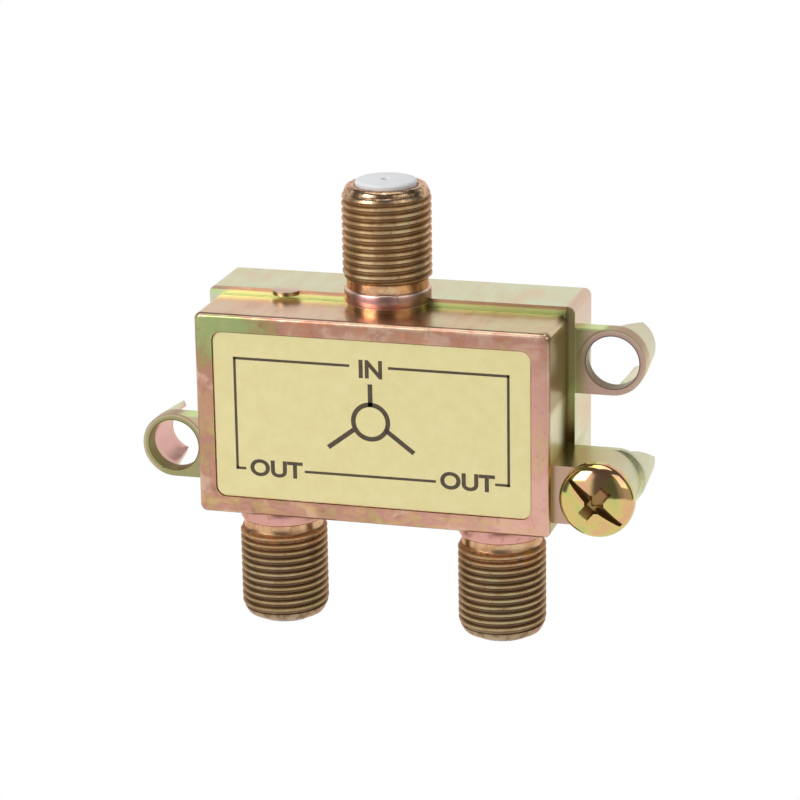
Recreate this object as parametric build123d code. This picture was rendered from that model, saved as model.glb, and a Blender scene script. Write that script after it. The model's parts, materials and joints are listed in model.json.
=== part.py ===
from build123d import *
import math
import os

# Two-way coaxial splitter. A yellow-plated die casting carries one threaded
# input port on top, two output ports below, two screw ears, a ground screw
# on a boss and a framed label, and holds the splitting circuit inside.
# Millimetres. The origin is the centre of the rear mounting face, +Z runs
# along the input port and the labelled front looks along -Y.

# Stepped block of the casting
face_width = 37.8
face_height = 21.7
face_depth = 7.7
flange_step = 0.85
flange_depth = 7.7
face_corner = 0.7
flange_corner = 0.75
edge_bevel = 0.4
side_wall = 1.7
front_wall = 1.8
cavity_corner = 0.8

# Ejector pad on the top edge of the flange
pad_x = -11.3
pad_radius = 1.55
pad_thickness = 0.45
pad_setback = 0.35

# Label in its shallow recess
side_rim = 1.9
end_rim = 1.85
recess_depth = 0.35
recess_corner = 1.1
label_gap = 0.1
label_thickness = 0.2

# Rear cover plate in its rebate
cover_rim = 1.3
cover_thickness = 1.0
cover_gap = 0.08
cover_corner = 1.0

# Threaded ports, plain at the thread's crest
port_axis_depth = 8.15
port_radius = 4.65
port_length = 12.95
output_offset = 12.05
nose_height = 1.35
nose_tip_radius = 4.15
foot_height = 0.65
foot_radius = 4.25
collar_height = 1.55
collar_radius = 4.5
groove_height = 1.0
groove_radius = 4.25

# Insulators and spring contact in each port
bore_radius = 3.25
bore_seat = 1.8
throat_radius = 2.2
insulator_gap = 0.03
insulator_proud = 0.5
pin_hole_radius = 0.5
pin_hole_depth = 1.2
bushing_flange = 1.5
contact_radius = 1.2
contact_bore_radius = 0.8
contact_gap = 0.05
contact_slot = 0.4
contact_slot_depth = 5.0
contact_end_gap = 0.3
tail_width = 1.2
tail_thickness = 0.3
tail_on_board = 2.6

# Screw ears on the flange plane
ear_left_reach = 4.7
ear_left_rise = 5.3
ear_right_reach = 3.95
ear_right_drop = 5.65
ear_radius = 3.5
ear_hole_radius = 2.8
ear_thickness = 1.7
skirt_wall = 0.65
skirt_taper = 0.35
skirt_clear = 1.1

# Ground boss and its pan-head screw
boss_reach = 3.95
boss_rise = 5.28
boss_radius = 3.1
boss_setback = 1.3
boss_lug_reach = 0.45
boss_lug_thickness = 0.85
screw_radius = 1.95
screw_gap = 0.05
screw_length = 9.6
head_radius = 3.92
head_height = 2.3
head_rim = 0.75
drive_arm = 2.75
drive_tip = 0.85
drive_width = 1.0
drive_depth = 1.5
drive_angle = 38.0

# Circuit board on the casting's four corner ledges
board_thickness = 1.2
board_side_gap = 0.6
board_end_gap = 1.3
board_corner = 0.6
ledge_width = 2.6
ledge_height = 3.4

# Parts soldered to the board
matching_core_x = -4.6
matching_core_z = 2.9
matching_core_radius = 2.5
matching_core_bore = 1.2
matching_core_height = 2.4
matching_turns = 6
splitting_core_x = 4.4
splitting_core_z = 1.3
splitting_core_radius = 3.1
splitting_core_bore = 1.5
splitting_core_height = 3.0
splitting_turns = 8
wire_width = 0.3
winding_gap = 0.02
resistor_z = -5.6
resistor_length = 3.6
resistor_radius = 0.85
lead_width = 0.5
lead_reach = 1.1
capacitor_inset = 3.3
capacitor_z = 3.6
capacitor_radius = 2.0
capacitor_thickness = 1.2
capacitor_lift = 0.8

# Planes that several pieces share
body_depth = face_depth + flange_depth
flange_width = face_width + 2 * flange_step
flange_height = face_height + 2 * flange_step
recess_width = face_width - 2 * side_rim
recess_height = face_height - 2 * end_rim
front_y = -body_depth
step_y = -flange_depth
port_y = -port_axis_depth
face_top = face_height / 2
cavity_top = face_top - side_wall
cavity_width = face_width - 2 * side_wall
cavity_height = face_height - 2 * side_wall
cavity_front = front_y + front_wall + recess_depth
port_tip = face_top + port_length
seat_z = face_top + bore_seat
insulator_tip = port_tip + insulator_proud
boss_y = front_y + boss_setback
ear_left_x = -flange_width / 2 - ear_left_reach
ear_left_z = -flange_height / 2 + ear_left_rise
ear_right_x = flange_width / 2 + ear_right_reach
ear_right_z = flange_height / 2 - ear_right_drop
boss_x = flange_width / 2 + boss_reach
boss_z = -flange_height / 2 + boss_rise
ear_back = step_y + ear_thickness
boss_lug_x = boss_x + boss_lug_reach
boss_lug_back = step_y + boss_lug_thickness
skirt_y = -skirt_clear
board_back = port_y - tail_thickness / 2
board_front = board_back - board_thickness
board_width = cavity_width - 2 * board_side_gap
board_height = cavity_height - 2 * board_end_gap
capacitor_x = capacitor_inset - board_width / 2


def block(width, height, y_front, y_back, corner=0.0, x=0.0, z=0.0):
    """A plate in the XZ plane between two depths, with rounded upright corners."""
    outline = RectangleRounded(width, height, corner) if corner else Rectangle(width, height)
    return Pos(x, y_back, z) * extrude(Plane.XZ * outline, amount=y_back - y_front)


def rod(radius, y_front, y_back, x=0.0, z=0.0):
    """A round bar along Y between two depths."""
    return Pos(x, y_back, z) * extrude(Plane.XZ * Circle(radius), amount=y_back - y_front)


def turned(points):
    """A solid turned about the input port's axis from a radius and height outline."""
    outline = make_face(Plane.XZ * Polyline(*points, close=True))
    return Pos(0, port_y, 0) * revolve(outline, Axis.Z)


def downward(solid):
    """The same solid turned over to point along -Z."""
    return Rot(0, 180, 0) * solid


# Port barrel: foot, collar, groove, the thread's length and the tapered nose
def barrel():
    foot = face_top + foot_height
    collar = foot + collar_height
    groove = collar + groove_height
    return turned([
        (0, cavity_top), (foot_radius, cavity_top), (foot_radius, foot),
        (collar_radius, foot), (collar_radius, collar), (groove_radius, collar),
        (groove_radius, groove), (port_radius, groove), (port_radius, port_tip - nose_height),
        (nose_tip_radius, port_tip), (0, port_tip),
    ])


# Bored passage through a port down into the cavity
def port_passage():
    below = cavity_top - side_wall
    return turned([
        (0, below), (throat_radius, below), (throat_radius, seat_z),
        (bore_radius, seat_z), (bore_radius, port_tip + 1), (0, port_tip + 1),
    ])


# Open conical wall behind an ear or the boss, narrower at its free end
def skirt(x, z, radius, start, near, far):
    def fan(angles, y):
        reach = 2 * radius
        low, high = angles
        steps = [math.radians(low + (high - low) * i / 4) for i in range(5)]
        rim = [(reach * math.cos(a), reach * math.sin(a)) for a in steps]
        return Pos(x, y, z) * make_face(Plane.XZ * Polyline((0, 0), *rim, close=True))

    def cone(wide):
        return Pos(x, start, z) * Rot(-90, 0, 0) * Cone(
            wide, wide - skirt_taper, skirt_y - start, align=(Align.CENTER, Align.CENTER, Align.MIN))

    return (cone(radius) - cone(radius - skirt_wall)) & loft([fan(near, start), fan(far, skirt_y)])


def lug(x, z, radius, back, near, far):
    """A rounded lug flush with the flange plane and the open skirt behind it."""
    inward = flange_width / 2 - cover_rim
    span = abs(x) - inward
    plate = rod(radius, step_y, back, x, z) + block(
        span, 2 * radius, step_y, back, x=math.copysign(inward + span / 2, x), z=z)
    return plate + skirt(x, z, radius, back, near, far)


# Die casting
casting = block(face_width, face_height, front_y, step_y, face_corner)
front_rim = casting.faces().sort_by(Axis.Y)[0].edges()
casting = chamfer(front_rim, edge_bevel)
casting += block(flange_width, flange_height, step_y, 0, flange_corner)
casting += Pos(pad_x, step_y + pad_setback, flange_height / 2 - pad_thickness / 2) * Cylinder(
    pad_radius, pad_thickness)

casting += barrel()
casting += Pos(output_offset, 0, 0) * downward(barrel())
casting += Pos(-output_offset, 0, 0) * downward(barrel())

casting += lug(ear_left_x, ear_left_z, ear_radius, ear_back, (97, 262), (110, 252))
casting += lug(ear_right_x, ear_right_z, ear_radius, ear_back, (-84, 84), (-68, 56))
boss_span = boss_x - face_width / 2 + side_wall / 2
casting += rod(boss_radius, boss_y, step_y, boss_x, boss_z)
casting += block(boss_span, 2 * boss_radius, boss_y, step_y, x=boss_x - boss_span / 2, z=boss_z)
casting += lug(boss_lug_x, boss_z, boss_radius, boss_lug_back, (-98, 65), (-92, 10))

casting -= block(cavity_width, cavity_height, cavity_front, 1, cavity_corner)
cover_width = flange_width - 2 * cover_rim
cover_height = flange_height - 2 * cover_rim
casting -= block(cover_width, cover_height, -cover_thickness, 1, cover_corner)
casting -= block(recess_width, recess_height, front_y - 1, front_y + recess_depth, recess_corner)

casting -= port_passage()
casting -= Pos(output_offset, 0, 0) * downward(port_passage())
casting -= Pos(-output_offset, 0, 0) * downward(port_passage())

casting -= rod(ear_hole_radius, step_y - 1, ear_back, ear_left_x, ear_left_z)
casting -= rod(ear_hole_radius, step_y - 1, ear_back, ear_right_x, ear_right_z)
casting -= rod(screw_radius + screw_gap, boss_y - 1, ear_back + 1, boss_x, boss_z)

ledge_x = cavity_width / 2 - ledge_width / 2
ledge_z = cavity_height / 2 - ledge_height / 2
for side in (-1, 1):
    for end in (-1, 1):
        casting += block(
            ledge_width, ledge_height, cavity_front, board_front, x=side * ledge_x, z=end * ledge_z)

# Stamped rear cover
cover = block(
    cover_width - 2 * cover_gap, cover_height - 2 * cover_gap, -cover_thickness, 0,
    cover_corner - cover_gap)

# Printed label
label = block(
    recess_width - 2 * label_gap, recess_height - 2 * label_gap,
    front_y + recess_depth - label_thickness, front_y + recess_depth, recess_corner - label_gap)


# Moulded insulator that closes a port's mouth
def insulator():
    outer = bore_radius - insulator_gap
    base = seat_z + bushing_flange
    channel = contact_radius + contact_gap
    roof = insulator_tip - pin_hole_depth
    return turned([
        (channel, base), (outer, base), (outer, insulator_tip),
        (pin_hole_radius, insulator_tip), (pin_hole_radius, roof), (channel, roof),
    ])


# Moulded bushing that carries the contact through the wall
def bushing():
    outer = bore_radius - insulator_gap
    top = seat_z + bushing_flange
    solid = turned([
        (0, cavity_top), (throat_radius - insulator_gap, cavity_top),
        (throat_radius - insulator_gap, seat_z), (outer, seat_z), (outer, top), (0, top),
    ])
    slit = Pos(0, port_y, 0) * Box(
        tail_width + 2 * insulator_gap, tail_thickness + 2 * insulator_gap, 2 * top)
    return solid - slit


# Split spring contact with a flat tail that is soldered to the board
def contact():
    base = seat_z + bushing_flange
    tip = insulator_tip - pin_hole_depth - contact_end_gap
    tube = turned([
        (0, base), (contact_radius, base), (contact_radius, tip), (contact_bore_radius, tip),
        (contact_bore_radius, base + contact_radius), (0, base + contact_radius),
    ])
    tube -= Pos(0, port_y, tip) * Box(
        2 * contact_radius + 1, contact_slot, 2 * contact_slot_depth)
    foot = board_height / 2 - tail_on_board
    tail = Pos(0, port_y, (base + foot) / 2) * Box(tail_width, tail_thickness, base - foot)
    return tube + tail


# Pan-head ground screw
dome_height = head_height - head_rim
dome_steps = [math.radians(a) for a in (0, 35, 65)]
dome = [(head_radius * math.cos(a), -head_rim - dome_height * math.sin(a)) for a in dome_steps]
outline = [
    (0, screw_length), (screw_radius, screw_length), (screw_radius, 0), (head_radius, 0),
] + dome + [(0, -head_height)]
screw = revolve(make_face(Plane.XY * Polyline(*outline, close=True)), Axis.Y)
drive_floor = drive_depth - head_height
wing = extrude(make_face(Plane.XY * Polyline(
    (-drive_arm, -head_height), (drive_arm, -head_height), (drive_tip, drive_floor),
    (-drive_tip, drive_floor), close=True)), amount=drive_width / 2, both=True)
screw -= Rot(0, drive_angle, 0) * (wing + Rot(0, 90, 0) * wing)
screw = Pos(boss_x, boss_y, boss_z) * screw

# Circuit board, soldered to the contacts' tails
board = block(board_width, board_height, board_front, board_back, board_corner)


# Ferrite ring, lifted off the board by its winding
def core(x, z, radius, bore, height):
    low = board_back + wire_width + winding_gap
    return rod(radius, low, low + height, x, z) - rod(bore, low, low + height, x, z)


# Turns of wire that pass through the ring and round its outside
def winding(x, z, radius, bore, height, turns):
    wall = radius - bore
    inner = Rectangle(wall + 2 * winding_gap, height + 2 * winding_gap)
    outer = Rectangle(
        wall + 2 * (winding_gap + wire_width), height + 2 * (winding_gap + wire_width))
    loop = extrude(outer - inner, amount=wire_width / 2, both=True)
    middle = board_back + wire_width + winding_gap + height / 2
    parts = []
    for i in range(turns):
        spin = 300 / turns * i
        parts.append(
            Pos(x, middle, z) * Rot(0, spin, 0) * Pos((radius + bore) / 2, 0, 0) * loop)
    return Compound(children=parts)


# Axial resistor between the two outputs
resistor_y = board_back + resistor_radius
lead_end = resistor_length / 2 + lead_reach
resistor = Pos(0, resistor_y, resistor_z) * Rot(0, 90, 0) * Cylinder(resistor_radius, resistor_length)
resistor += Pos(0, resistor_y, resistor_z) * Box(2 * lead_end + lead_width, lead_width, lead_width)
for side in (-1, 1):
    resistor += block(lead_width, lead_width, board_back, resistor_y, x=side * lead_end, z=resistor_z)

# Disc capacitor standing on its two leads
capacitor_y = board_back + capacitor_lift + capacitor_radius
capacitor = Pos(capacitor_x, capacitor_y, capacitor_z) * Cylinder(capacitor_radius, capacitor_thickness)
for side in (-1, 1):
    capacitor += block(
        lead_width, lead_width, board_back, capacitor_y,
        x=capacitor_x + side * capacitor_radius / 2, z=capacitor_z)

matching_ring = (
    matching_core_x, matching_core_z, matching_core_radius, matching_core_bore, matching_core_height)
splitting_ring = (
    splitting_core_x, splitting_core_z, splitting_core_radius, splitting_core_bore,
    splitting_core_height)

pieces = {
    "housing": casting,
    "back_cover": cover,
    "label": label,
    "ground_screw": screw,
    "circuit_board": board,
    "matching_core": core(*matching_ring),
    "matching_winding": winding(*matching_ring, matching_turns),
    "splitting_core": core(*splitting_ring),
    "splitting_winding": winding(*splitting_ring, splitting_turns),
    "balance_resistor": resistor,
    "input_capacitor": capacitor,
    "in_insulator": insulator(),
    "in_bushing": bushing(),
    "in_contact": contact(),
}
for name, x in (("out_left", -output_offset), ("out_right", output_offset)):
    pieces[name + "_insulator"] = Pos(x, 0, 0) * downward(insulator())
    pieces[name + "_bushing"] = Pos(x, 0, 0) * downward(bushing())
    pieces[name + "_contact"] = Pos(x, 0, 0) * downward(contact())

os.makedirs("parts", exist_ok=True)
for name, shape in pieces.items():
    shape.label = name
    export_step(shape, f"parts/{name}.step")
    print(name, round(shape.volume, 2))
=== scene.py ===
import json
import math

import bpy
from mathutils import Matrix, Vector


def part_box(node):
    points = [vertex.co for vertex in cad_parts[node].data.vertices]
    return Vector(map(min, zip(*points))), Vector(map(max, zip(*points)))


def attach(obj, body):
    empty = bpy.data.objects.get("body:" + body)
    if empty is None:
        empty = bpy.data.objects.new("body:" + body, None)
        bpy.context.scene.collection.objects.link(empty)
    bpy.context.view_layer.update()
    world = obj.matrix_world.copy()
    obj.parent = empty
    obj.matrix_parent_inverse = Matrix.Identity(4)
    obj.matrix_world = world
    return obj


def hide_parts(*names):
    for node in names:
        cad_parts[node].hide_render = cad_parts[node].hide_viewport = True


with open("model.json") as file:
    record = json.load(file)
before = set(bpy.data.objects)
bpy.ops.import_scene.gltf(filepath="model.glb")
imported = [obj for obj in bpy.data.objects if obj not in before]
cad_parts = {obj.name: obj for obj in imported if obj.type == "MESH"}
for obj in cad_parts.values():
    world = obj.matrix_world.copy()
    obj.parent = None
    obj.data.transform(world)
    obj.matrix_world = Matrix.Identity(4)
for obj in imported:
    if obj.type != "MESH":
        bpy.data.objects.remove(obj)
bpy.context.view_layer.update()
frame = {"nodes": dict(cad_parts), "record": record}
nodes = frame["nodes"]
MM = 0.001

# Sizes in millimetres, the same as the part's own
FLANGE_TOP = 11.7
BLOCK_TOP = 10.85
BLOCK_SIDE = 18.9
FLANGE_SIDE = 19.75
STEP_Y = -7.7
FRONT_Y = -15.4
LABEL_Y = -15.25
RECESS_END = 9.0
RIGHT_EAR = (23.7, 6.05)
LEFT_EAR = (-24.45, -6.4)
EAR_R = 3.5
EAR_HOLE_R = 2.8
EAR_BACK = -6.0
BOSS_FACE = -14.1
PAD_X = -11.3
PORT_Y = -8.15
PORT_R = 4.65
OUTPUT_X = 12.05
COLLAR_LOW = 11.5
COLLAR_TOP = 13.05
THREAD_LOW = 14.05
NOSE_LOW = 22.45
PORT_TIP = 23.8
SEAT = 12.65
THROAT_R = 2.2
BORE_R = 3.25
INSULATOR_LOW = 14.15
INSULATOR_TIP = 24.3
CHANNEL_R = 1.25
PIN_HOLE_R = 0.5
PIN_HOLE_DEPTH = 1.2
HEAD_R = 3.91
HEAD_H = 2.26
HEAD_RIM = 0.75
SHANK_R = 1.95
SHANK_L = 9.6

# Sizes in millimetres that only the dressed pieces, and the tools that cut them, have
CASTING_BEVEL = 0.09
TRIM = FLANGE_TOP + 0.05
BEYOND = 30.0
BEYOND_FRONT = -20.0
BEYOND_REAR = 5.0
BARREL_LOW = 9.6
FOOT_R = 4.26
COLLAR_R = 4.52
PITCH = 0.794
THREAD_DEPTH = 0.3
SHANK_PITCH = 0.8
INK = 0.006
LETTER_WEIGHT = 0.032
LINE_WIDTH = 0.28
SYMBOL_WIDTH = 0.5

# How far the screw is turned, and each port with its place across and whether it points down
DRIVE_ANGLE = math.radians(-40.0)
PORTS = (("in", 0.0, False), ("out_left", -OUTPUT_X, True), ("out_right", OUTPUT_X, True))

# Camera, worked out from the photograph's measured points: radians, millimetres and pixels
AZIMUTH = math.radians(16.251)
ELEVATION = math.radians(17.251)
ROLL = math.radians(-0.908)
CAMERA_DISTANCE = 323.161
CAMERA_TARGET = Vector((1.074, -8.0, 0.561))
FOCAL_PIXELS = 3084.66
PICTURE_PIXELS = 800.0
SENSOR_WIDTH = 36.0

# The screw's seat comes from the CAD node, so that it follows the boss
low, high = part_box("ground_screw")
SCREW = Vector(((low.x + high.x) / 2, high.y - SHANK_L * MM, (low.z + high.z) / 2)) / MM


# Small helpers for the modelling
def deselect_all():
    if bpy.context.object and bpy.context.object.mode != "OBJECT":
        bpy.ops.object.mode_set(mode="OBJECT")
    bpy.ops.object.select_all(action="DESELECT")


def take(obj):
    deselect_all()
    obj.select_set(True)
    bpy.context.view_layer.objects.active = obj


def edit(obj, mode="VERT", select="SELECT"):
    take(obj)
    bpy.ops.object.mode_set(mode="EDIT")
    bpy.ops.mesh.select_mode(type=mode)
    bpy.ops.mesh.select_all(action=select)


def leave():
    bpy.ops.object.mode_set(mode="OBJECT")


def pick(obj, test):
    """Selects the vertices whose place, in millimetres, passes the test, and returns to edit mode."""
    edit(obj, "VERT", "DESELECT")
    leave()
    for vertex in obj.data.vertices:
        vertex.select = test(vertex.co / MM)
    bpy.ops.object.mode_set(mode="EDIT")


def called(name):
    obj = bpy.context.object
    obj.name = name
    obj.data.name = name
    return obj


def copied(source, name):
    """A copy that has its own mesh."""
    take(source)
    bpy.ops.object.duplicate()
    return called(name)


def shift(x, y, z):
    return Matrix.Translation(Vector((x, y, z)) * MM)


def stretch(x, y, z):
    return Matrix.Diagonal((Vector((x, y, z)) * MM).to_4d())


def place(obj, matrix):
    """Puts a transform into the mesh, so that the object stays at the origin."""
    obj.matrix_world = matrix @ obj.matrix_world
    take(obj)
    bpy.ops.object.transform_apply(location=True, rotation=True, scale=True)
    return obj


def apply_modifier(obj, kind, **settings):
    take(obj)
    mod = obj.modifiers.new(kind.title(), kind)
    for key, value in settings.items():
        setattr(mod, key, value)
    bpy.ops.object.modifier_apply(modifier=mod.name)


def cut(obj, tool):
    apply_modifier(obj, "BOOLEAN", operation="DIFFERENCE", object=tool, solver="EXACT")
    bpy.data.objects.remove(tool, do_unlink=True)


def finish_shape(obj, finish, body="splitter", degrees=35.0):
    """Crisp flat faces and smooth round ones, then the finish and the body."""
    take(obj)
    bpy.ops.object.shade_smooth_by_angle(angle=math.radians(degrees))
    apply_modifier(obj, "WEIGHTED_NORMAL", mode="FACE_AREA", weight=100, keep_sharp=True)
    obj.data.materials.clear()
    obj.data.materials.append(FINISHES[finish])
    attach(obj, body)


def pick_open_edges():
    """Selects the edges that have a face on one side only."""
    bpy.ops.mesh.select_all(action="DESELECT")
    bpy.ops.mesh.select_non_manifold(extend=False, use_wire=False, use_multi_face=False,
                                     use_non_contiguous=False, use_verts=False)


def face_outwards():
    """Turns every face outwards and leaves edit mode."""
    bpy.ops.mesh.select_all(action="SELECT")
    bpy.ops.mesh.normals_make_consistent(inside=False)
    leave()


def turned(name, profile, sides):
    """A skin drawn up from a circle about the Z axis, ring by ring of (radius, height)."""
    radius, height = profile[0]
    bpy.ops.mesh.primitive_circle_add(vertices=sides, radius=radius * MM, location=(0, 0, height * MM))
    obj = called(name)
    place(obj, Matrix.Identity(4))
    edit(obj, "EDGE")
    for next_radius, next_height in profile[1:]:
        bpy.ops.mesh.extrude_edges_move(
            TRANSFORM_OT_translate={"value": (0, 0, (next_height - height) * MM)})
        if next_radius != radius:
            k = next_radius / radius
            bpy.ops.transform.resize(value=(k, k, 1), center_override=(0, 0, next_height * MM))
        radius, height = next_radius, next_height
    pick_open_edges()
    return obj


def closed_ring(name, profile, sides=96):
    """A turned piece with a hole through it: its first and last rings are bridged."""
    obj = turned(name, profile, sides)
    bpy.ops.mesh.bridge_edge_loops()
    face_outwards()
    return obj


def closed_bar(name, profile, sides=96):
    """A turned piece with no hole: its two ends are filled."""
    obj = turned(name, profile, sides)
    bpy.ops.mesh.fill_holes(sides=0)
    face_outwards()
    return obj


def block_tool(x0, x1, y0, y1, z0, z1):
    bpy.ops.mesh.primitive_cube_add(size=1.0, location=(0, 0, 0))
    obj = called("block_tool")
    size = stretch(x1 - x0, y1 - y0, z1 - z0)
    return place(obj, shift((x0 + x1) / 2, (y0 + y1) / 2, (z0 + z1) / 2) @ size)


def thread_tool(crest, depth, pitch, root, mouth, low_z, high_z, steps=72):
    """One closed helical ridge that cuts a thread into a round bar standing on Z.

    Its section is root wide at its inner edge, mouth wide at the crest, and nearly a pitch wide outside.
    """
    outer = crest + 0.4
    span = 0.96 * pitch
    reach = outer - crest + depth
    bpy.ops.mesh.primitive_plane_add(size=1.0, location=(0, 0, 0))
    obj = called("thread_tool")
    upright = Matrix.Rotation(math.pi / 2, 4, "X")
    place(obj, shift((outer + crest - depth) / 2, 0, low_z) @ upright @ stretch(reach, span, 1.0))
    pick(obj, lambda at: at.x < crest)
    inner = ((crest - depth) * MM, 0, low_z * MM)
    bpy.ops.transform.resize(value=(1, 1, root / span), center_override=inner)
    edit(obj)
    bpy.ops.mesh.bisect(plane_co=(crest * MM, 0, 0), plane_no=(1, 0, 0))
    width = root + (span - root) * depth / reach
    pick(obj, lambda at: abs(at.x - crest) < 0.01)
    bpy.ops.transform.resize(value=(1, 1, mouth / width), center_override=(crest * MM, 0, low_z * MM))
    bpy.ops.mesh.select_mode(type="FACE")
    bpy.ops.mesh.select_all(action="SELECT")
    bpy.ops.mesh.dissolve_faces()
    bpy.ops.mesh.delete(type="ONLY_FACE")
    leave()
    turns = (high_z - low_z) / pitch
    total = int(steps * turns)
    apply_modifier(obj, "SCREW", axis="Z", angle=math.radians(360.0 * turns),
                   screw_offset=(high_z - low_z) * MM, steps=total, render_steps=total,
                   use_merge_vertices=False, use_smooth_shade=False)
    edit(obj, "EDGE")
    pick_open_edges()
    bpy.ops.mesh.fill_holes(sides=0)
    face_outwards()
    return obj


# Shader maths written as expressions
class Sock:
    def __init__(self, tree, socket):
        self.tree = tree
        self.socket = socket

    def math(self, operation, *others):
        node = self.tree.nodes.new("ShaderNodeMath")
        node.operation = operation
        for target, value in zip(node.inputs, (self, *others)):
            plug(self.tree, target, value)
        return Sock(self.tree, node.outputs[0])

    def __add__(self, other):
        return self.math("ADD", other)

    __radd__ = __add__

    def __sub__(self, other):
        return self.math("SUBTRACT", other)

    def __rsub__(self, other):
        return (self * -1.0).math("ADD", other)

    def __mul__(self, other):
        return self.math("MULTIPLY", other)

    __rmul__ = __mul__

    def __pow__(self, other):
        return self.math("POWER", other)

    def abs(self):
        return self.math("ABSOLUTE")

    def least(self, other):
        return self.math("MINIMUM", other)

    def most(self, other):
        return self.math("MAXIMUM", other)

    def near(self, value, core, fade):
        """1 within core of a value, 0 past core + fade."""
        return (self - value).abs().ramp(core + fade, core)

    def ramp(self, low, high):
        """0 at low, 1 at high, straight between."""
        return ((self - low) * (1.0 / (high - low))).most(0.0).least(1.0)


def plug(tree, target, value):
    if isinstance(value, Sock):
        tree.links.new(value.socket, target)
    else:
        target.default_value = value


def set_stops(node, stops):
    """Gives a colour ramp its stops, each a place and a colour."""
    elements = node.color_ramp.elements
    while len(elements) < len(stops):
        elements.new(0.5)
    for element, (where, colour) in zip(elements, stops):
        element.position = where
        element.color = (*colour, 1.0)


class Finish:
    """One procedural material, with its shader and its place in object coordinates, in millimetres."""

    def __init__(self, name, **fixed):
        self.material = bpy.data.materials.new(name)
        self.material.use_nodes = True
        self.tree = self.material.node_tree
        self.shader = self.tree.nodes["Principled BSDF"]
        for key, value in fixed.items():
            self.shader.inputs[key.replace("_", " ")].default_value = value
        self.at = self.node("ShaderNodeTexCoord", output="Object")
        split = self.tree.nodes.new("ShaderNodeSeparateXYZ")
        plug(self.tree, split.inputs[0], self.at)
        self.x, self.y, self.z = (Sock(self.tree, out) * (1.0 / MM) for out in split.outputs)

    def node(self, kind, output=0, **inputs):
        """Any other node, with its sockets by name."""
        made = self.tree.nodes.new(kind)
        for key, value in inputs.items():
            plug(self.tree, made.inputs[key.replace("_", " ")], value)
        return Sock(self.tree, made.outputs[output])

    def noise(self, size, detail=3.0, roughness=0.5, distortion=0.0):
        """Noise whose patches are about size millimetres across."""
        return self.node("ShaderNodeTexNoise", Vector=self.at, Scale=1.0 / (size * MM), Detail=detail,
                         Roughness=roughness, Distortion=distortion)

    def mix(self, factor, first, second):
        made = self.tree.nodes.new("ShaderNodeMix")
        made.data_type = "RGBA"
        plug(self.tree, made.inputs[0], factor)
        for target, value in ((made.inputs[6], first), (made.inputs[7], second)):
            plug(self.tree, target, value if isinstance(value, Sock) else (*value, 1.0))
        return Sock(self.tree, made.outputs[2])

    def paint(self, mask, tone):
        """Lays a tone over the colour so far, as strongly as the mask says."""
        self.colour = self.mix(mask, self.colour, tone)

    def streaks(self, size, scale):
        """Noise drawn out along the axes that are scaled down."""
        along = self.node("ShaderNodeMapping", Vector=self.at, Scale=scale)
        return self.node("ShaderNodeTexNoise", Vector=along, Scale=1.0 / (size * MM), Detail=3.0)

    def reach(self, x, z):
        """Distance from an axis along Y."""
        across = self.x - x
        up = self.z - z
        return (across * across + up * up) ** 0.5

    def spread(self, stops, factor):
        """A colour between the stops, as far along as the factor says."""
        made = self.tree.nodes.new("ShaderNodeValToRGB")
        set_stops(made, stops)
        plug(self.tree, made.inputs[0], factor)
        return Sock(self.tree, made.outputs[0])

    def feed(self, **sockets):
        for key, value in sockets.items():
            self.tree.links.new(value.socket, self.shader.inputs[key.replace("_", " ")])

    def grain(self, height, strength, depth):
        """Fine relief, depth millimetres high."""
        bump = self.node("ShaderNodeBump", Height=height, Strength=strength, Distance=depth * MM)
        self.feed(Normal=bump)


# Colours of the iridescent chromate film, from thin to thick
FILM = [
    (0.00, (0.68, 0.72, 0.54)),
    (0.14, (0.68, 0.65, 0.45)),
    (0.28, (0.72, 0.59, 0.42)),
    (0.40, (0.73, 0.50, 0.38)),
    (0.52, (0.58, 0.31, 0.21)),
    (0.62, (0.52, 0.26, 0.20)),
    (0.74, (0.46, 0.30, 0.15)),
    (0.86, (0.40, 0.37, 0.16)),
    (1.00, (0.38, 0.45, 0.19)),
]
ZINC = [(0.36, (0.52, 0.54, 0.18)), (0.50, (0.68, 0.52, 0.18)), (0.62, (0.72, 0.41, 0.23))]

# Tones that are laid over the film: film tones and stains, and painted shade, highlights and reflections
HIGHLIGHT_GREEN = (0.62, 0.76, 0.36)
PALE_GREEN = (0.58, 0.62, 0.44)
HIGHLIGHT_LIME_WHITE = (0.86, 0.92, 0.68)
MOSS = (0.27, 0.35, 0.11)
SIDE_SHADE_MOSS = (0.24, 0.25, 0.09)
OLIVE = (0.36, 0.30, 0.12)
YELLOW_OLIVE = (0.44, 0.40, 0.15)
GREEN_OLIVE = (0.25, 0.245, 0.08)
DARK_OLIVE = (0.13, 0.10, 0.035)
ROSE = (0.52, 0.30, 0.26)
PALE_ROSE = (0.70, 0.45, 0.40)
WARM_ROSE = (0.84, 0.47, 0.39)
DUSTY_ROSE = (0.66, 0.34, 0.32)
DEEP_ROSE = (0.56, 0.28, 0.27)
CORAL = (0.74, 0.38, 0.32)
PINK = (0.78, 0.43, 0.40)
SALMON = (0.80, 0.56, 0.44)
RUST = (0.62, 0.25, 0.13)
ORANGE = (0.60, 0.28, 0.12)
COPPER = (0.62, 0.36, 0.15)
GOLD = (0.72, 0.50, 0.20)
HONEY = (0.72, 0.52, 0.22)
BRASS = (0.64, 0.49, 0.19)
BRONZE = (0.42, 0.34, 0.18)
TAN = (0.56, 0.38, 0.24)
PALE_TAN = (0.62, 0.43, 0.30)
AMBER = (0.44, 0.27, 0.13)
STRAW = (0.66, 0.58, 0.31)
REFLECTED_PALE_STRAW = (0.74, 0.72, 0.48)
HIGHLIGHT_CREAM = (0.88, 0.74, 0.52)
HIGHLIGHT_PEACH = (0.82, 0.62, 0.50)
IVORY = (0.78, 0.77, 0.60)
UMBER = (0.22, 0.12, 0.07)
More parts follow.
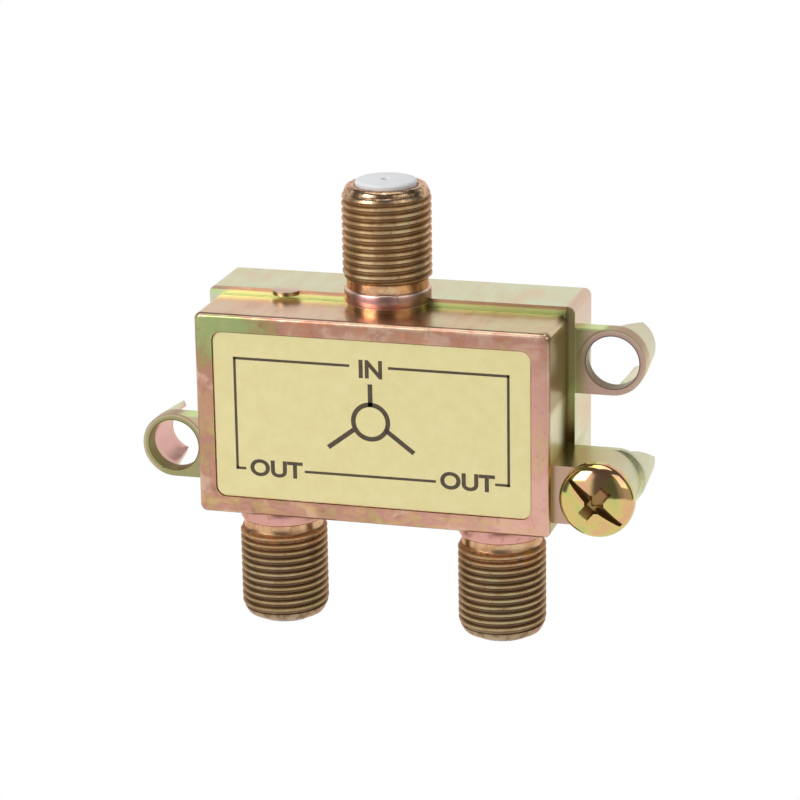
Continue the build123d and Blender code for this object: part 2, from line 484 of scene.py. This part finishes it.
SIDE_SHADE_UMBER = (0.30, 0.20, 0.10)
RECESS_SHADE_UMBER = (0.24, 0.13, 0.05)
SIDE_SHADE_BRONZE = (0.25, 0.19, 0.08)
LOWER_PORT_SHADE_GOLD = (0.17, 0.15, 0.08)
GRIME = (0.20, 0.13, 0.06)
CHESTNUT = (0.20, 0.10, 0.04)
DARK_CHESTNUT = (0.10, 0.045, 0.03)
SOOT = (0.16, 0.09, 0.05)
HOLE_SHADE_GREY_BROWN = (0.10, 0.07, 0.04)
HOLE_SHADE_YELLOW_BROWN = (0.14, 0.10, 0.02)


class Casting(Finish):
    """The die casting's film, painted region by region, with painted shade, highlights and reflections in
    places. Masks that several regions share are kept.
    """

    def __init__(self):
        super().__init__("yellow_chromate_casting", Metallic=1.0, Specular_Tint=(1.0, 0.95, 0.84, 1.0))
        self.drift = self.noise(7.0, 3.0, 0.55, 0.8) - 0.5
        self.patches = self.noise(2.2, 4.0, 0.65, 0.6) - 0.5
        self.specks = self.noise(0.6, 3.0, 0.6, 0.3)
        self.drawn = self.streaks(1.0, (1.0, 1.0 / 7.0, 1.0)) - 0.5
        self.flecks = self.streaks(0.9, (0.35, 1.0, 1.0))
        self.ahead = self.y.ramp(STEP_Y, STEP_Y - 0.3)
        self.front = self.y.ramp(FRONT_Y + 0.45, FRONT_Y + 0.1)
        self.side = self.x.ramp(BLOCK_SIDE - 0.15, BLOCK_SIDE - 0.02) * (1.0 - self.front)

    def film_colours(self):
        """Thin behind the step, thicker on the block and thickest on the labelled face."""
        blotches = self.noise(3.6, 2.0, 0.5, 0.3) - 0.5
        green_corner = self.x.ramp(-9.0, -12.5) * self.z.ramp(2.0, 8.0)
        body = 0.13 + self.ahead * 0.21 + self.drift * 0.7 + blotches * 0.35 + self.drawn * 0.45
        face = 0.54 + green_corner * 0.38 + self.drift * 0.75 + blotches * 0.6 + self.patches * 0.7
        self.colour = self.spread(FILM, body + (face.most(0.45) - body) * self.front)
        block = self.ahead * (1.0 - self.front)
        self.paint(block * self.x.ramp(4.0, 12.0) * 0.5, STRAW)
        self.paint(block * self.x.ramp(-2.0, -9.0) * self.z.ramp(8.0, 10.0) * 0.55, SALMON)
        self.paint(self.front * self.x.ramp(0.0, 16.0) * self.z.ramp(14.0, 4.0) * 0.65, WARM_ROSE)

    def lower_rim(self):
        """Gold and rose flecks below the label, and honey patches over the whole face."""
        rim = self.front * self.z.ramp(1.0 - RECESS_END, -0.4 - RECESS_END)
        self.paint(rim * self.flecks.ramp(0.50, 0.66) * 0.5, GOLD)
        self.paint(rim * self.flecks.ramp(0.46, 0.34) * 0.45, DUSTY_ROSE)
        patches = (self.drift * 2.0 + self.patches * 1.5).ramp(0.15, 0.5)
        self.paint(self.front * patches * 0.4, HONEY)

    def right_side_reflections(self):
        """Painted reflections on the right side: painted shade beside the upper ear, an olive painted
        reflection of the ear's top towards the front, a pale painted reflection between the ear and the
        boss, and an olive painted reflection of the boss's top.
        """
        ear_z = RIGHT_EAR[1]
        wall = self.side * self.ahead * self.x.ramp(BLOCK_SIDE + 0.2, BLOCK_SIDE + 0.05)
        # Painted shade, painted reflections of the ear's and the boss's tops, and a pale painted
        # reflection between them.
        self.paint(wall * self.z.near(ear_z + 0.15, 3.4, 0.8) * 0.75, SIDE_SHADE_UMBER)
        self.paint(wall * self.z.near(ear_z - 0.05, 4.5, 0.6) * self.y.ramp(-12.0, -15.0) * 0.4, OLIVE)
        self.paint(wall * self.z.near(-0.2, 1.9, 1.0) * 0.85, REFLECTED_PALE_STRAW)
        self.paint(wall * self.z.ramp(-1.8, -3.6) * 0.7, OLIVE)

    def step_edges(self):
        """A painted green highlight round the block's foot, rose at the flange's edge, painted shade in
        the crease before the step, and painted shade down the right side, darker towards the bottom and
        in the corner against the block.
        """
        up = self.z.abs()
        step = self.y.near(STEP_Y, 0.05, 0.12)
        upper = (1.0 - self.side) * up.ramp(BLOCK_TOP - 0.1, BLOCK_TOP)
        # Painted highlight: bright green along the step's face, then rose at the flange's edge.
        self.paint(upper * step * 0.9, HIGHLIGHT_GREEN)
        self.paint(upper * step * up.ramp(FLANGE_TOP - 0.42, FLANGE_TOP - 0.3) * 0.85, ROSE)
        # Painted shade: a dark olive line in the crease just before the step.
        self.paint(upper * self.y.near(STEP_Y - 0.2, 0.05, 0.14) * 0.75, DARK_OLIVE)
        right = self.side * step * self.x.ramp(FLANGE_SIDE + 0.1, FLANGE_SIDE)
        # The right step face: moss, with painted shade darker towards the bottom and in the corner
        # against the block's side.
        self.paint(right * 0.85, MOSS)
        self.paint(right * self.z.ramp(2.5, -2.5) * 0.85, DARK_OLIVE)
        self.paint(right * self.x.ramp(BLOCK_SIDE + 0.3, BLOCK_SIDE + 0.1) * 0.8, UMBER)
        flange = self.side * self.y.ramp(STEP_Y - 0.05, STEP_Y + 0.1) * self.z.ramp(4.0, 10.0)
        self.paint(flange * 0.7, PALE_ROSE)

    def ear(self, centre, ring_tone, wall_shade, skirt_tone):
        """Tan web, mossy at its root, a ring, a painted green highlight along the plate's top edge,
        painted shade on the hole's wall, and a pale skirt with its own inside.
        """
        x, z = centre
        out = self.x.abs()
        away = self.reach(x, z)
        lug = out.ramp(FLANGE_SIDE, FLANGE_SIDE + 0.2) * away.ramp(7.0, 6.0)
        plate = lug * self.y.ramp(EAR_BACK + 0.3, EAR_BACK - 0.1)
        skirt = lug - plate
        lower = (self.z + out * 0.5 + self.drift * 6.0).ramp(z + 11.8, z + 10.2)
        ring = plate * away.ramp(EAR_R - 0.15, EAR_R - 0.35).most(lower)
        top = self.z.ramp(z + EAR_R - 0.25, z + EAR_R - 0.08)
        self.paint((plate - ring) * 0.7, TAN)
        self.paint(ring * 0.78, ring_tone)
        self.paint(plate * out.ramp(FLANGE_SIDE + 1.45, FLANGE_SIDE + 0.35) * 0.6, MOSS)
        # Painted highlight along the plate's top edge, fading away from the block.
        self.paint(plate * top * out.ramp(FLANGE_SIDE + 4.45, FLANGE_SIDE + 2.85), HIGHLIGHT_GREEN)
        # Painted shade on the hole's wall.
        self.paint(lug * away.ramp(EAR_HOLE_R + 0.15, EAR_HOLE_R + 0.06) * 0.9, wall_shade)
        self.paint(plate * away.near(EAR_R, 0.02, 0.14) * self.z.ramp(z, z + 2.0) * 0.6, UMBER)
        self.paint(skirt * 0.6, PALE_GREEN)
        self.paint(skirt * away.ramp(EAR_HOLE_R + 0.2, EAR_HOLE_R + 0.1) * 0.9, skirt_tone)

    def boss(self):
        """Yellow-olive above, rose in front, a pale green skirt, and a painted highlight on the lug's
        face at the step beside the boss.
        """
        boss = self.x.ramp(BLOCK_SIDE, BLOCK_SIDE + 0.15) * self.z.ramp(-2.6, -3.1)
        self.paint(boss * self.y.ramp(-2.0, -6.0) * self.x.ramp(25.4, 22.5) * 0.6, YELLOW_OLIVE)
        self.paint(boss * self.x.ramp(23.5, 26.0) * 0.7, PALE_GREEN)
        self.paint(boss * self.y.ramp(BOSS_FACE + 0.2, BOSS_FACE + 0.02) * 0.7, ROSE)
        # Painted highlight: the face at the step beside the boss made lime white.
        self.paint(boss * self.x.ramp(24.0, 25.0) * self.y.near(STEP_Y, 0.04, 0.04) * 0.9, HIGHLIGHT_LIME_WHITE)

    def ejector_pad(self):
        """Painted shade on the pad's bronze wall, and a rose patch where the pad meets the flange's top.
        """
        wall = self.x.near(PAD_X, 1.6, 0.1) * self.z.ramp(BLOCK_TOP + 0.1, BLOCK_TOP + 0.2)
        # Painted shade on the pad's front wall, under its top.
        self.paint(wall * self.y.ramp(STEP_Y - 0.08, STEP_Y - 0.15) * 0.9, BRONZE)
        top = self.x.near(PAD_X, 1.2, 0.5) * self.z.ramp(FLANGE_TOP - 0.1, FLANGE_TOP - 0.04)
        self.paint(top * self.y.ramp(STEP_Y + 1.5, STEP_Y + 0.3) * 0.7, PALE_ROSE)

    def upper_rim(self):
        """Rust flecks above the label, and a painted highlight along the top edge."""
        rim = self.front * self.z.ramp(RECESS_END - 1.2, RECESS_END + 0.6) * self.x.ramp(-13.0, -8.0)
        self.paint(rim * self.flecks.ramp(0.48, 0.38) * 0.55, RUST)
        # Painted highlight: cream flecks along the chamfered top edge.
        edge = self.front * self.z.ramp(BLOCK_TOP - 0.6, BLOCK_TOP - 0.3)
        self.paint(edge * self.flecks.ramp(0.44, 0.60) * 0.6, HIGHLIGHT_CREAM)

    def dirt(self):
        """Stains and specks, and grains in the near upper corner. Gives the mask of the stains."""
        stain = self.noise(1.6, 4.0, 0.6, 0.4)
        marks = stain.ramp(0.60, 0.74) * 0.45 + self.specks.ramp(0.60, 0.75) * 0.2
        dirt = marks * (0.3 + self.front * 0.7)
        self.paint(dirt, UMBER)
        ends = self.y.near(FRONT_Y + 0.5, 0.2, 0.5) + self.y.near(STEP_Y - 0.6, 0.2, 0.5)
        corner = self.reach(BLOCK_SIDE - 0.2, BLOCK_TOP - 0.15).ramp(1.1, 0.5) * ends
        self.paint(corner * (self.specks - 0.2).ramp(0.15, 0.35) * 0.85, DARK_OLIVE)
        return dirt


def casting_finish():
    f = Casting()
    f.film_colours()
    f.lower_rim()
    f.right_side_reflections()
    f.step_edges()
    # Each ear: its ring tone, the painted shade on its hole's wall, and its skirt's inside.
    f.ear(RIGHT_EAR, ROSE, HOLE_SHADE_GREY_BROWN, IVORY)
    f.ear(LEFT_EAR, GREEN_OLIVE, HOLE_SHADE_YELLOW_BROWN, PINK)
    f.boss()
    f.ejector_pad()
    f.upper_rim()
    dirt = f.dirt()
    fine = f.noise(0.3, 3.0, 0.6)
    f.feed(Base_Color=f.colour, Roughness=0.24 + fine * 0.12 + dirt * 0.04 + f.front * 0.06)
    f.grain(f.noise(0.45, 4.0, 0.6) + f.drawn * 0.3, strength=0.22, depth=0.03)
    return f.material


def barrel_finish():
    f = Finish("yellow_chromate_thread", Metallic=1.0, Specular_Tint=(1.0, 0.78, 0.74, 1.0))
    across = f.x.abs().least((f.x.abs() - OUTPUT_X).abs())
    depth = f.y - PORT_Y
    radius = (across * across + depth * depth) ** 0.5
    up = f.z.abs()

    # Where each part of a barrel lies
    threaded = up.ramp(THREAD_LOW - 0.15, THREAD_LOW)
    nose = up.ramp(NOSE_LOW + 0.1, NOSE_LOW + 0.5)
    root = radius.ramp(PORT_R - 0.03, PORT_R - THREAD_DEPTH + 0.03) * threaded
    root = root * up.ramp(NOSE_LOW + 0.9, NOSE_LOW)
    collar = up.near((COLLAR_LOW + COLLAR_TOP) / 2, 0.6, 0.25)
    edges = up.near(COLLAR_TOP - 0.1, 0.1, 0.03) + up.near(COLLAR_LOW + 0.03, 0.04, 0.03)
    groove = up.near((COLLAR_TOP + THREAD_LOW) / 2, 0.35, 0.2) * (1.0 - threaded)
    foot = up.ramp(COLLAR_LOW, COLLAR_LOW - 0.1)
    # The barrel's sides across X, where painted shade goes.
    side_shade = across.ramp(1.8, 4.2)
    under = f.z.ramp(0.0, -10.0)
    below = under * threaded
    first_turns = below * up.ramp(THREAD_LOW + 2.4, THREAD_LOW)

    # The film, then each part's own tone with painted highlights and painted shade, then what only the
    # lower ports have with their painted shade, then dirt
    drift = f.noise(3.4, 3.0, 0.55, 0.6) - 0.5
    spots = f.noise(0.9, 4.0, 0.65, 0.5)
    f.colour = f.spread(FILM, 0.50 + drift * 1.5 + (spots - 0.5) * 0.9)
    f.paint(threaded * 0.5, BRASS)
    f.paint(nose * 0.6, PALE_TAN)
    f.paint(nose * spots.ramp(0.47, 0.55) * 0.65, SOOT)
    f.paint(collar * 0.75, DEEP_ROSE)
    # Painted shade on the collar's sides.
    f.paint(collar * side_shade * 0.75, SIDE_SHADE_BRONZE)
    # Painted highlights along the collar's top and lower edges.
    f.paint(edges * 0.8, HIGHLIGHT_PEACH)
    f.paint(groove * 0.6, COPPER)
    f.paint(foot * 0.7, AMBER)
    # Painted shade on the foot's sides.
    f.paint(foot * side_shade * 0.7, SIDE_SHADE_MOSS)
    # Painted shade in the thread's roots.
    f.paint(root * 0.8, CHESTNUT)
    # Painted shade over the lower ports' threads, deeper in their roots.
    f.paint(below * 0.48, LOWER_PORT_SHADE_GOLD)
    f.paint(below * root * 0.5, DARK_CHESTNUT)
    f.paint(under * collar * 0.8, CORAL)
    f.paint(first_turns * spots.ramp(0.4, 0.55) * 0.6, ORANGE)
    f.paint(spots.ramp(0.56, 0.72) * 0.6, GRIME)
    worn = spots * 0.14 + (threaded - nose) * 0.17 + root * 0.10 + collar * 0.12
    f.feed(Base_Color=f.colour, Roughness=0.15 + worn)
    f.grain(f.noise(0.5, 3.0, 0.6), strength=0.10, depth=0.02)
    return f.material


def screw_finish():
    f = Finish("bright_yellow_zinc", Metallic=1.0)
    f.colour = f.spread(ZINC, f.noise(2.4, 2.0, 0.5, 0.5))
    away = f.reach(SCREW.x, SCREW.z)
    part = away * (1.0 / HEAD_R)
    dome = (1.0 - (part * part).least(1.0)) ** 0.5 * (HEAD_H - HEAD_RIM) + HEAD_RIM
    sunk = (f.y - SCREW.y + dome).ramp(0.05, 0.22)
    recess = sunk * away.ramp(HEAD_R - 0.19, HEAD_R - 0.31) * f.y.ramp(SCREW.y + 0.1, SCREW.y)
    # Painted shade inside the recess.
    f.paint(recess * 0.8, RECESS_SHADE_UMBER)
    f.feed(Base_Color=f.colour, Roughness=0.06 + f.noise(0.6) * 0.08 + recess * 0.2)
    f.grain(f.noise(1.2, 2.0), strength=0.14, depth=0.02)
    return f.material


def label_finish():
    f = Finish("cream_film", Metallic=0.0)
    fine = f.noise(1.5, 4.0, 0.6)
    colour = f.mix(fine.ramp(0.35, 0.65), (0.72, 0.63, 0.30), (0.76, 0.67, 0.34))
    f.feed(Base_Color=colour, Roughness=0.38 + fine * 0.12)
    f.grain(f.noise(0.25, 3.0), strength=0.05, depth=0.01)
    return f.material


def plain_finish(name, first, second, metallic, roughness, size=2.0):
    f = Finish(name, Metallic=metallic)
    drift = f.noise(size, 4.0, 0.6)
    f.feed(Base_Color=f.mix(drift.ramp(0.35, 0.65), first, second), Roughness=roughness + drift * 0.1)
    f.grain(f.noise(size / 5, 3.0), strength=0.06, depth=0.01)
    return f.material


FINISHES = {
    "casting": casting_finish(),
    "barrel": barrel_finish(),
    "screw": screw_finish(),
    "label": label_finish(),
    "ink": plain_finish("dark_ink", (0.055, 0.038, 0.018), (0.085, 0.06, 0.03), 0.0, 0.45, 0.8),
    "insulator": plain_finish("natural_plastic", (0.69, 0.70, 0.71), (0.73, 0.74, 0.75), 0.0, 0.42),
    "cover": plain_finish("plated_cover", (0.62, 0.57, 0.38), (0.68, 0.58, 0.40), 1.0, 0.28, 5.0),
    "board": plain_finish("brown_laminate", (0.30, 0.20, 0.08), (0.36, 0.25, 0.11), 0.0, 0.45),
    "ferrite": plain_finish("dark_ferrite", (0.05, 0.05, 0.055), (0.08, 0.08, 0.08), 0.0, 0.6),
    "wire": plain_finish("enamelled_wire", (0.50, 0.14, 0.05), (0.60, 0.20, 0.07), 0.8, 0.3),
    "resistor": plain_finish("tan_lacquer", (0.45, 0.32, 0.18), (0.52, 0.38, 0.22), 0.0, 0.35),
    "capacitor": plain_finish("orange_dip", (0.55, 0.22, 0.05), (0.62, 0.28, 0.08), 0.0, 0.3),
    "contact": plain_finish("spring_contact", (0.62, 0.52, 0.34), (0.70, 0.60, 0.40), 1.0, 0.3),
}

for part in frame["record"]["subparts"]:
    obj = nodes[part["node"]]
    obj.data.materials.clear()
    obj.data.materials.append(FINISHES[part["material_slot"]])


# Die-cast block: a welded copy of the CAD casting, its port barrels cut off
def casting_block():
    mesh = nodes["housing"].data.copy()
    obj = bpy.data.objects.new("plated_casting", mesh)
    mesh.name = obj.name
    bpy.context.scene.collection.objects.link(obj)
    edit(obj)
    bpy.ops.mesh.remove_doubles(threshold=1e-6)
    bpy.ops.mesh.dissolve_limited(angle_limit=math.radians(0.3))
    leave()
    for low_z, high_z in ((TRIM, BEYOND), (-BEYOND, -TRIM)):
        cut(obj, block_tool(-BEYOND, BEYOND, BEYOND_FRONT, BEYOND_REAR, low_z, high_z))
    apply_modifier(obj, "BEVEL", width=CASTING_BEVEL * MM, segments=2, limit_method="ANGLE",
                   angle_limit=math.radians(60), use_clamp_overlap=True)
    finish_shape(obj, "casting", degrees=50.0)
    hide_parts("housing")


casting_block()


def fit_port(obj, x, downward, finish, degrees):
    """Puts a turned piece that stands on Z at its port."""
    turn = Matrix.Rotation(math.pi, 4, "X") if downward else Matrix.Identity(4)
    place(obj, shift(x, PORT_Y, 0) @ turn)
    finish_shape(obj, finish, degrees=degrees)


# Turned and threaded barrel, modelled once and copied to each port
def port_barrels():
    profile = [
        (THROAT_R, BARREL_LOW), (FOOT_R, BARREL_LOW), (FOOT_R, COLLAR_LOW - 0.02),
        (COLLAR_R - 0.08, COLLAR_LOW - 0.02), (COLLAR_R, COLLAR_LOW + 0.08), (COLLAR_R, COLLAR_TOP - 0.2),
        (COLLAR_R - 0.14, COLLAR_TOP), (FOOT_R, COLLAR_TOP + 0.02), (FOOT_R - 0.01, THREAD_LOW - 0.1),
        (FOOT_R + 0.04, THREAD_LOW), (PORT_R, THREAD_LOW + 0.25), (PORT_R, NOSE_LOW),
        (PORT_R - 0.1, NOSE_LOW + 0.4), (PORT_R - 0.4, PORT_TIP - 0.28), (PORT_R - 0.53, PORT_TIP - 0.1),
        (PORT_R - 0.73, PORT_TIP), (BORE_R + 0.1, PORT_TIP), (BORE_R, PORT_TIP - 0.1), (BORE_R, SEAT),
        (THROAT_R, SEAT),
    ]
    barrel = closed_ring("port_barrel", profile)
    cut(barrel, thread_tool(PORT_R, THREAD_DEPTH, PITCH, root=0.2, mouth=0.56,
                            low_z=THREAD_LOW - 0.15, high_z=PORT_TIP + 0.25))
    for name, x, downward in PORTS:
        fit_port(copied(barrel, name + "_barrel"), x, downward, "barrel", 48.0)
    bpy.data.objects.remove(barrel, do_unlink=True)


port_barrels()


# Moulded insulator that stands a little proud, modelled once and copied to each mouth
def mouth_insulators():
    outer = BORE_R - 0.03
    profile = [
        (CHANNEL_R, INSULATOR_LOW), (outer, INSULATOR_LOW), (outer, INSULATOR_TIP - 0.32),
        (outer - 0.04, INSULATOR_TIP - 0.18), (outer - 0.14, INSULATOR_TIP - 0.06),
        (outer - 0.32, INSULATOR_TIP), (PIN_HOLE_R + 0.08, INSULATOR_TIP),
        (PIN_HOLE_R, INSULATOR_TIP - 0.1), (PIN_HOLE_R, INSULATOR_TIP - PIN_HOLE_DEPTH),
        (CHANNEL_R, INSULATOR_TIP - PIN_HOLE_DEPTH),
    ]
    insulator = closed_ring("mouth_insulator", profile, 64)
    for name, x, downward in PORTS:
        piece = copied(insulator, name + "_mouth_insulator")
        fit_port(piece, x, downward, "insulator", 45.0)
        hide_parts(name + "_insulator")
    bpy.data.objects.remove(insulator, do_unlink=True)


mouth_insulators()


def recess_tool(half_x, half_y, depth, over, narrowing):
    """A block that cuts the screw's recess and narrows towards its floor."""
    tool = block_tool(-half_x, half_x, -half_y, half_y, HEAD_H - depth, HEAD_H + over)
    pick(tool, lambda at: at.z < HEAD_H - 1)
    bpy.ops.transform.resize(value=(*narrowing, 1.0))
    leave()
    return tool


def slot_tool():
    """A block right across the head that narrows towards its ends."""
    tool = block_tool(-3.5, 3.5, -0.6, 0.6, HEAD_H - 1.25, HEAD_H + 0.3)
    edit(tool)
    bpy.ops.mesh.bisect(plane_co=(0, 0, 0), plane_no=(1, 0, 0))
    pick(tool, lambda at: abs(at.x) > 3)
    bpy.ops.transform.resize(value=(1.0, 0.35, 1.0))
    leave()
    return tool


# Pan-head ground screw with a slot and a cross, drawn up on Z and then laid along -Y
def ground_screw():
    dome = HEAD_H - HEAD_RIM
    arc = [(HEAD_R * math.cos(math.radians(a)), HEAD_RIM + dome * math.sin(math.radians(a)))
           for a in range(0, 88, 6)]
    profile = [(SHANK_R - 0.45, -SHANK_L), (SHANK_R, -SHANK_L + 0.45), (SHANK_R, 0.0),
               (HEAD_R - 0.12, 0.0), (HEAD_R, 0.12)] + arc
    obj = closed_bar("pan_head_ground_screw", profile)
    cut(obj, thread_tool(SHANK_R, depth=0.28, pitch=SHANK_PITCH, root=0.12, mouth=0.55,
                         low_z=-SHANK_L - 0.2, high_z=-0.6, steps=48))
    cut(obj, slot_tool())
    cut(obj, recess_tool(half_x=0.66, half_y=2.4, depth=1.5, over=0.31, narrowing=(0.7, 0.45)))
    well = recess_tool(half_x=1.1, half_y=1.1, depth=1.7, over=0.32, narrowing=(0.5, 0.5))
    cut(obj, place(well, Matrix.Rotation(math.radians(45), 4, "Z")))
    place(obj, Matrix.Rotation(DRIVE_ANGLE, 4, "Z"))
    place(obj, shift(*SCREW) @ Matrix.Rotation(math.pi / 2, 4, "X"))
    finish_shape(obj, "screw", "screw")
    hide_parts("ground_screw")


ground_screw()


# Printed marks on the label: the routing lines, IN and OUT, and a plain splitter symbol
def bar(points, width):
    """Flat lines of ink through (x, z) points."""
    pieces = []
    for (x0, z0), (x1, z1) in zip(points, points[1:]):
        length = math.hypot(x1 - x0, z1 - z0) + width
        piece = block_tool(-length / 2, length / 2, -INK, INK, -width / 2, width / 2)
        angle = math.atan2(z1 - z0, x1 - x0)
        place(piece, shift((x0 + x1) / 2, 0, (z0 + z1) / 2) @ Matrix.Rotation(-angle, 4, "Y"))
        pieces.append(piece)
    return pieces


def ring(x, z, outer, inner):
    obj = closed_ring("ring", [(inner, -INK), (outer, -INK), (outer, INK), (inner, INK)], 64)
    return place(obj, shift(x, 0, z) @ Matrix.Rotation(math.pi / 2, 4, "X"))


def word(text, x, z, width, height):
    """A word that fills the given box, its lower left corner at x and z."""
    bpy.ops.object.text_add(location=(0, 0, 0))
    obj = bpy.context.object
    obj.data.body = text
    obj.data.offset = LETTER_WEIGHT
    obj.data.extrude = INK
    take(obj)
    bpy.ops.object.convert(target="MESH")
    obj = bpy.context.object
    xs = [v.co.x for v in obj.data.vertices]
    ys = [v.co.y for v in obj.data.vertices]
    start = Matrix.Translation((-min(xs), -min(ys), 0))
    size = stretch(width / (max(xs) - min(xs)), height / (max(ys) - min(ys)), 1.0)
    return place(obj, shift(x, 0, z) @ Matrix.Rotation(math.pi / 2, 4, "X") @ size @ start)


# The routing lines and the symbol's lines, each a width and its (x, z) points
LINES = [
    (LINE_WIDTH, [(-2.3, 6.2), (-14.6, 6.2), (-14.6, -5.75), (-13.8, -5.75)]),
    (LINE_WIDTH, [(2.1, 6.2), (14.6, 6.2), (14.6, -5.45), (13.3, -5.45)]),
    (LINE_WIDTH, [(-7.1, -5.65), (6.75, -5.6)]),
    (SYMBOL_WIDTH, [(0, 4.1), (0, 2.2)]),
    (SYMBOL_WIDTH, [(-1.75, -0.6), (-4.4, -2.6)]),
    (SYMBOL_WIDTH, [(1.75, -0.6), (4.4, -2.6)]),
]
# The words, each with its lower left corner at x and z, its width and its height
WORDS = [
    ("IN", -1.17, 4.96, 2.5, 1.96),
    ("OUT", -13.2, -6.5, 5.75, 1.85),
    ("OUT", 7.35, -6.35, 5.8, 1.9),
]


def label_print():
    pieces = [ring(x=0, z=0.3, outer=2.1, inner=1.6)]
    for width, points in LINES:
        pieces += bar(points, width)
    for text, *box in WORDS:
        pieces.append(word(text, *box))
    deselect_all()
    for piece in pieces:
        piece.select_set(True)
    bpy.context.view_layer.objects.active = pieces[0]
    bpy.ops.object.join()
    obj = called("label_print")
    place(obj, shift(0, LABEL_Y - 0.004, 0))
    edit(obj)
    face_outwards()
    obj.data.materials.clear()
    obj.data.materials.append(FINISHES["ink"])
    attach(obj, "splitter")


label_print()


def set_camera():
    data = bpy.data.cameras.new("camera")
    camera = bpy.data.objects.new("camera", data)
    bpy.context.scene.collection.objects.link(camera)
    back = Vector((math.sin(AZIMUTH) * math.cos(ELEVATION),
                   -math.cos(AZIMUTH) * math.cos(ELEVATION), math.sin(ELEVATION)))
    right = Vector((math.cos(AZIMUTH), math.sin(AZIMUTH), 0.0))
    up = back.cross(right)
    right_rolled = math.cos(ROLL) * right + math.sin(ROLL) * up
    up_rolled = -math.sin(ROLL) * right + math.cos(ROLL) * up
    basis = Matrix((right_rolled, up_rolled, back)).transposed().to_4x4()
    camera.matrix_world = shift(*(CAMERA_TARGET + back * CAMERA_DISTANCE)) @ basis
    data.sensor_width = SENSOR_WIDTH
    data.lens = FOCAL_PIXELS / PICTURE_PIXELS * SENSOR_WIDTH
    data.clip_start = 0.01
    data.clip_end = 20.0
    bpy.context.scene.camera = camera


set_camera()


# Pale floor, white surroundings and soft studio light
def split_by_ray(rays, tree, first, second, output):
    """The second shader for the named kinds of ray, the first for the rest."""
    path = tree.nodes.new("ShaderNodeLightPath")
    mix = tree.nodes.new("ShaderNodeMixShader")
    seen = Sock(tree, path.outputs[rays[0]])
    for ray in rays[1:]:
        seen = seen.most(Sock(tree, path.outputs[ray]))
    tree.links.new(seen.socket, mix.inputs[0])
    tree.links.new(first, mix.inputs[1])
    tree.links.new(second, mix.inputs[2])
    tree.links.new(mix.outputs[0], output)


# Brightness of the studio walls, by the angle from the camera's side in degrees
WALLS = [
    (-180, 1.0), (-118, 0.95), (-106, 0.16), (-84, 0.16), (-72, 1.0), (-36, 1.0), (-27, 0.14),
    (4, 0.13), (16, 0.34), (34, 0.52), (72, 0.52), (84, 0.16), (104, 0.18), (118, 0.95), (180, 1.0),
]
CEILING = 0.12
FLOOR_SIZE = 0.25

# Lights, each with its name, its place and size in metres and its power in watts
SOFTBOXES = [
    ("left_softbox", (-0.29, -0.37, 0.26), 0.26, 1.6),
    ("right_softbox", (0.42, -0.26, 0.30), 0.36, 0.5),
    ("top_softbox", (-0.02, 0.02, 0.45), 0.36, 0.85),
]


def studio_floor():
    bpy.ops.mesh.primitive_plane_add(size=FLOOR_SIZE, location=(0, 0, -(INSULATOR_TIP + 0.02) * MM))
    floor = called("studio_floor")
    place(floor, Matrix.Identity(4))
    material = bpy.data.materials.new("studio_white")
    material.use_nodes = True
    tree = material.node_tree
    shader = tree.nodes["Principled BSDF"]
    shader.inputs["Base Color"].default_value = (0.9, 0.9, 0.9, 1)
    shader.inputs["Roughness"].default_value = 0.8
    glow = tree.nodes.new("ShaderNodeEmission")
    glow.inputs["Strength"].default_value = 1.0
    split_by_ray(("Is Camera Ray", "Is Glossy Ray", "Is Transmission Ray"), tree, shader.outputs[0],
                 glow.outputs[0], tree.nodes["Material Output"].inputs["Surface"])
    floor.data.materials.append(material)


def studio_walls():
    world = bpy.data.worlds.new("studio_world")
    bpy.context.scene.world = world
    world.use_nodes = True
    tree = world.node_tree
    soft = tree.nodes["Background"]
    soft.inputs["Color"].default_value = (1, 1, 1, 1)
    direction = tree.nodes.new("ShaderNodeTexCoord")
    split = tree.nodes.new("ShaderNodeSeparateXYZ")
    tree.links.new(direction.outputs["Generated"], split.inputs[0])
    x, y, z = (Sock(tree, out) for out in split.outputs)
    angle = (x.math("ARCTAN2", y * -1.0) - AZIMUTH) * (180.0 / math.pi)
    bands = tree.nodes.new("ShaderNodeValToRGB")
    bands.color_ramp.interpolation = "EASE"
    set_stops(bands, [((degrees + 180.0) / 360.0, (level, level, level)) for degrees, level in WALLS])
    plug(tree, bands.inputs["Fac"], (angle + 180.0) * (1.0 / 360.0))
    walls = Sock(tree, bands.outputs["Color"])
    ceiling = z.ramp(0.45, 0.65)
    plug(tree, soft.inputs["Strength"], walls + (CEILING - walls) * ceiling)
    white = tree.nodes.new("ShaderNodeBackground")
    white.inputs["Color"].default_value = (1, 1, 1, 1)
    split_by_ray(("Is Camera Ray", "Is Transmission Ray"), tree, soft.outputs[0], white.outputs[0],
                 tree.nodes["World Output"].inputs["Surface"])


def softboxes():
    for name, spot, size, power in SOFTBOXES:
        data = bpy.data.lights.new(name, "AREA")
        data.size = size
        data.energy = power
        light = bpy.data.objects.new(name, data)
        bpy.context.scene.collection.objects.link(light)
        light.location = spot
        light.rotation_euler = (-Vector(spot)).to_track_quat("-Z", "Y").to_euler()


studio_floor()
studio_walls()
softboxes()
bpy.context.scene.view_settings.view_transform = "Standard"
